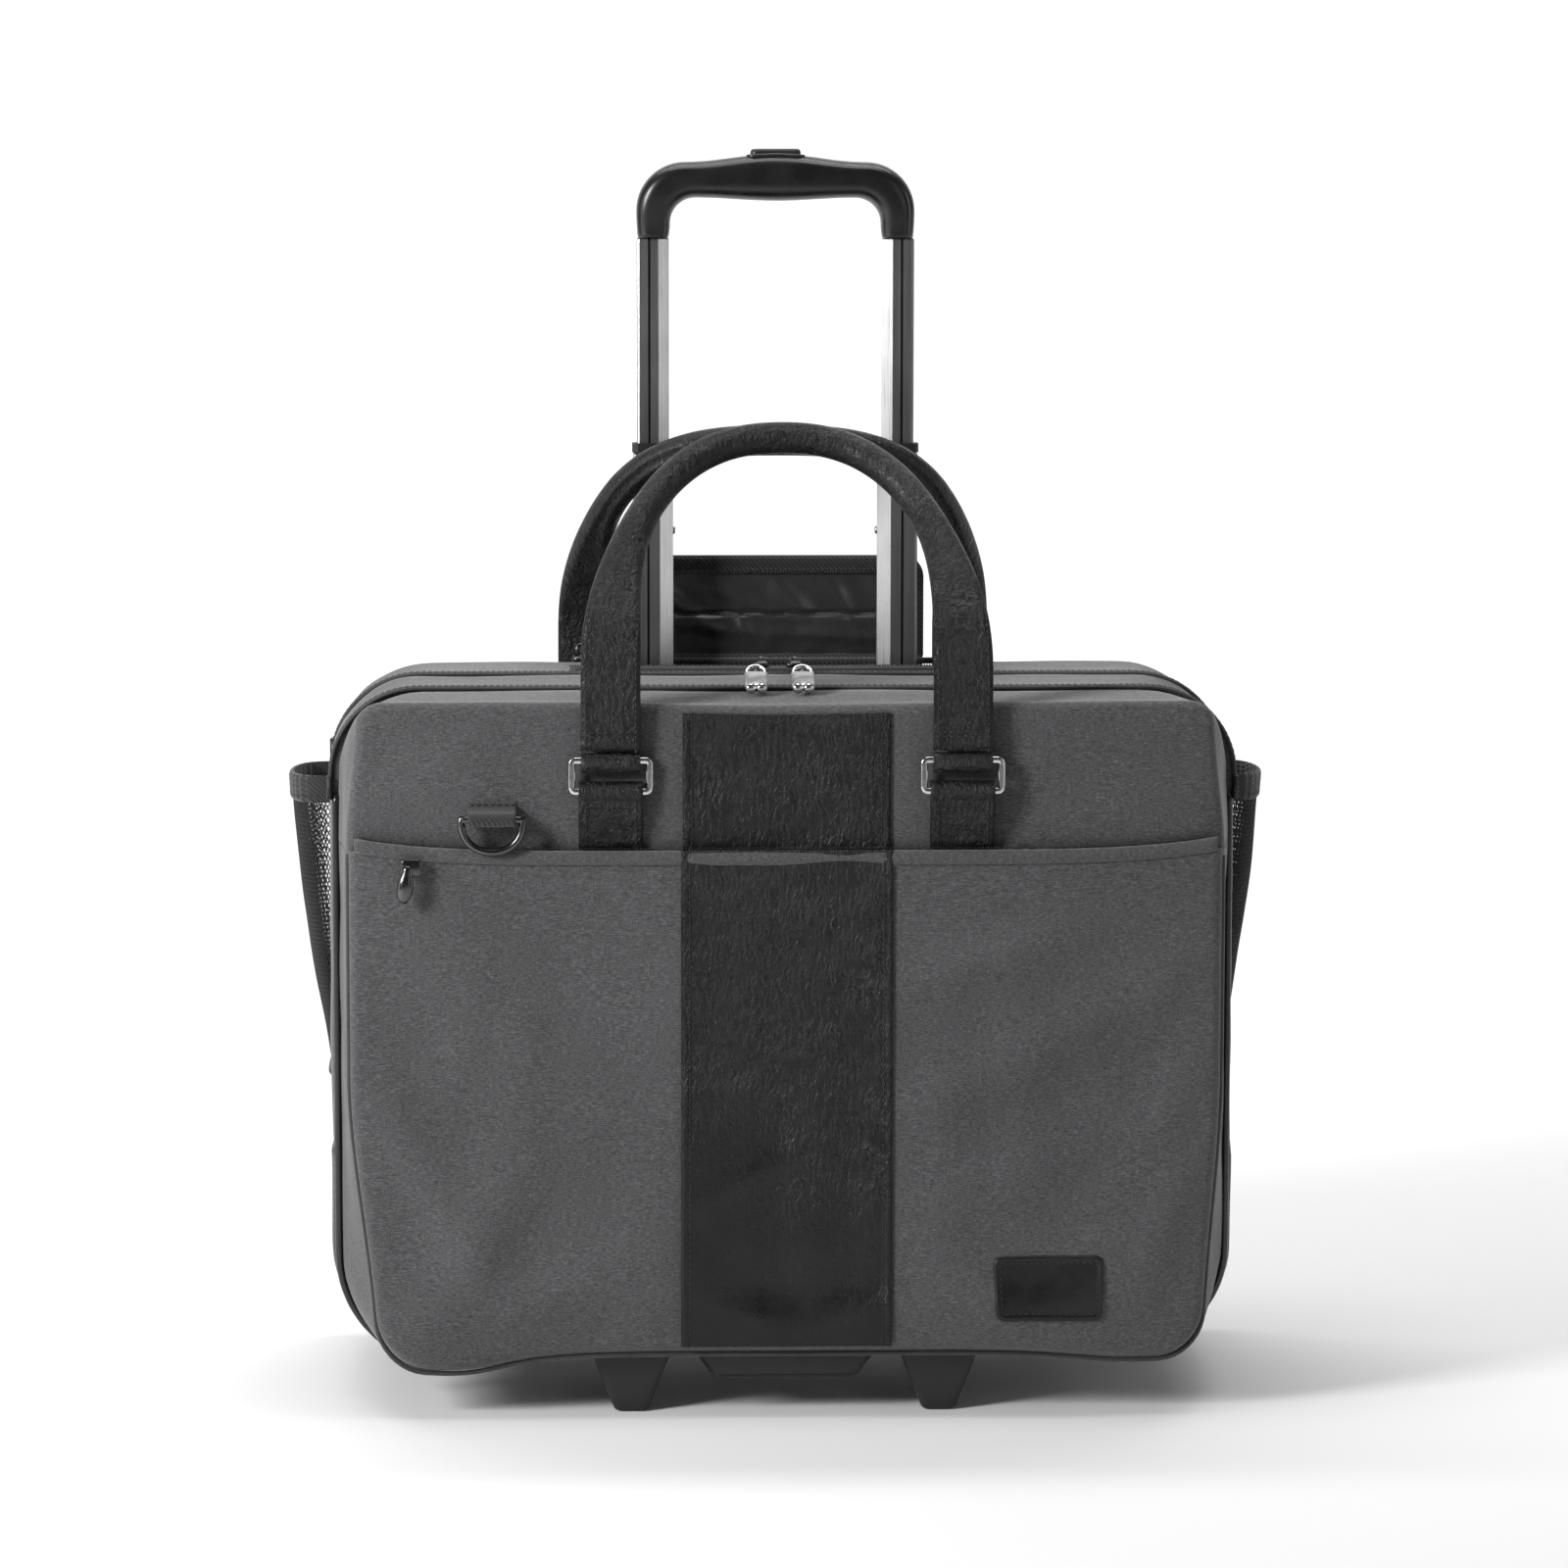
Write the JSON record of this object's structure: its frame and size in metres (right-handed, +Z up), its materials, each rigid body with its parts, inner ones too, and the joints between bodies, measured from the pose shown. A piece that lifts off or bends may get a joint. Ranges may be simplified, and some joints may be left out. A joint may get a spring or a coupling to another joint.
{
  "type": "rolling laptop case",
  "caption": "Soft-sided laptop case on two rear wheels, with a telescopic pull handle, leather carry handles, zipped compartments and mesh side pockets.",
  "frame": {"origin": "on the floor under the middle of the case's box", "axes": "+Z up, -Y towards the front face, +X to the right of someone facing the front"},
  "size_m": [0.5002, 0.2366, 0.6207],
  "materials": {
    "melange_fabric": "woven polyester melange, matt",
    "lining": "black nylon and webbing",
    "mesh_net": "black knitted mesh",
    "leather": "grained coated leather, satin",
    "plastic": "moulded black plastic, satin",
    "tube": "satin anodised",
    "nickel": "polished nickel plate",
    "gunmetal": "dark plated zinc",
    "steel": "plain steel",
    "rubber": "moulded wheel rubber"
  },
  "bodies": {
    "rear_section": {"rear_shell": "melange_fabric", "laptop_divider": "lining", "wheel_housing_left": "plastic", "wheel_housing_right": "plastic", "axle_left": "steel", "axle_right": "steel", "sleeve_tube_left": "tube", "sleeve_tube_right": "tube", "handle_bezel": "plastic", "handle_foot": "plastic", "mesh_pocket_left": "mesh_net", "mesh_pocket_right": "mesh_net", "rear_tab_left": "leather", "rear_tab_right": "leather", "laptop_zip_track": "lining"},
    "wheel_left": {"tyre_left": "rubber", "hub_left": "plastic"},
    "wheel_right": {"tyre_right": "rubber", "hub_right": "plastic"},
    "lower_stage": {"middle_tube_left": "tube", "middle_tube_right": "tube", "tube_collar_left": "plastic", "tube_collar_right": "plastic"},
    "upper_stage": {"inner_tube_left": "tube", "inner_tube_right": "tube", "pull_grip": "plastic"},
    "release_button": {"release_button": "plastic", "push_rod_left": "steel", "push_rod_right": "steel"},
    "handle_flap": {"handle_flap": "lining"},
    "rear_carry_handle": {"rear_handle": "leather", "rear_ring_left": "nickel", "rear_ring_right": "nickel"},
    "front_section": {"middle_shell": "melange_fabric", "base_board": "plastic", "organiser_shell": "melange_fabric", "front_pocket_panel": "melange_fabric", "leather_panel_lower": "leather", "label_patch": "leather", "skid_plate": "plastic", "front_foot_left": "plastic", "front_foot_right": "plastic", "front_zip_track": "lining"},
    "front_top": {"front_top_panel": "melange_fabric", "leather_panel_upper": "leather", "front_tab_left": "leather", "front_tab_right": "leather", "d_ring_loop": "lining"},
    "front_carry_handle": {"front_handle": "leather", "front_ring_left": "nickel", "front_ring_right": "nickel"},
    "d_ring": {"d_ring": "gunmetal"},
    "front_zip_slider_left": {"front_zip_slider_left": "nickel"},
    "front_zip_slider_right": {"front_zip_slider_right": "nickel"},
    "laptop_zip_slider_left": {"laptop_zip_slider_left": "gunmetal"},
    "laptop_zip_slider_right": {"laptop_zip_slider_right": "gunmetal"},
    "trolley_zip_slider": {"trolley_zip_slider": "gunmetal"},
    "pocket_zip_slider": {"pocket_zip_slider": "gunmetal"}
  },
  "joints": [
    {"name": "lower_stage_slide", "type": "slide", "parent": "rear_section", "child": "lower_stage", "axis": [0, 0, 1], "range_m": [-0.163, 0.058]},
    {"name": "upper_stage_slide", "type": "slide", "parent": "lower_stage", "child": "upper_stage", "axis": [0, 0, 1], "range_m": [-0.104, 0.118]},
    {"name": "release_button_press", "type": "slide", "parent": "upper_stage", "child": "release_button", "axis": [0, 0, -1], "range_m": [0, 0.004], "stiffness_N_per_m": 600, "springref_m": -0.002},
    {"name": "wheel_left_spin", "type": "hinge", "parent": "rear_section", "child": "wheel_left", "pos_m": [-0.168, 0.0873, 0.031], "axis": [1, 0, 0], "continuous": true},
    {"name": "wheel_right_spin", "type": "hinge", "parent": "rear_section", "child": "wheel_right", "pos_m": [0.168, 0.0873, 0.031], "axis": [1, 0, 0], "continuous": true},
    {"name": "handle_flap_fold", "type": "hinge", "parent": "rear_section", "child": "handle_flap", "pos_m": [0, 0.1021, 0.357], "axis": [1, 0, 0], "range_deg": [-170, 10]},
    {"name": "rear_handle_swing", "type": "hinge", "parent": "rear_section", "child": "rear_carry_handle", "pos_m": [0, 0.1075, 0.31], "axis": [1, 0, 0], "range_deg": [-6, 0]},
    {"name": "laptop_compartment_open", "type": "hinge", "parent": "rear_section", "child": "front_section", "pos_m": [0, 0.0133, 0.031], "axis": [1, 0, 0], "range_deg": [0, 14]},
    {"name": "organiser_mouth_open", "type": "hinge", "parent": "front_section", "child": "front_top", "pos_m": [0, -0.1017, 0.283], "axis": [1, 0, 0], "range_deg": [0, 40]},
    {"name": "front_handle_swing", "type": "hinge", "parent": "front_top", "child": "front_carry_handle", "pos_m": [0, -0.1079, 0.31], "axis": [1, 0, 0], "range_deg": [0, 120]},
    {"name": "d_ring_swing", "type": "hinge", "parent": "front_top", "child": "d_ring", "pos_m": [-0.143, -0.1123, 0.297], "axis": [1, 0, 0], "range_deg": [-100, 0]},
    {"name": "front_zip_left_slide", "type": "slide", "parent": "front_top", "child": "front_zip_slider_left", "axis": [1, 0, 0], "range_m": [-0.15, 0]},
    {"name": "front_zip_right_slide", "type": "slide", "parent": "front_top", "child": "front_zip_slider_right", "axis": [1, 0, 0], "range_m": [0, 0.15]},
    {"name": "laptop_zip_left_slide", "type": "slide", "parent": "rear_section", "child": "laptop_zip_slider_left", "axis": [1, 0, 0], "range_m": [-0.15, 0]},
    {"name": "laptop_zip_right_slide", "type": "slide", "parent": "rear_section", "child": "laptop_zip_slider_right", "axis": [1, 0, 0], "range_m": [0, 0.15]},
    {"name": "trolley_zip_slide", "type": "slide", "parent": "rear_section", "child": "trolley_zip_slider", "axis": [1, 0, 0], "range_m": [0, 0.19]},
    {"name": "pocket_zip_slide", "type": "slide", "parent": "front_section", "child": "pocket_zip_slider", "axis": [1, 0, 0], "range_m": [0, 0.36]}
  ],
  "couplings": [
    {"joint": "d_ring_swing", "follows": "organiser_mouth_open", "ratio": -1}
  ]
}
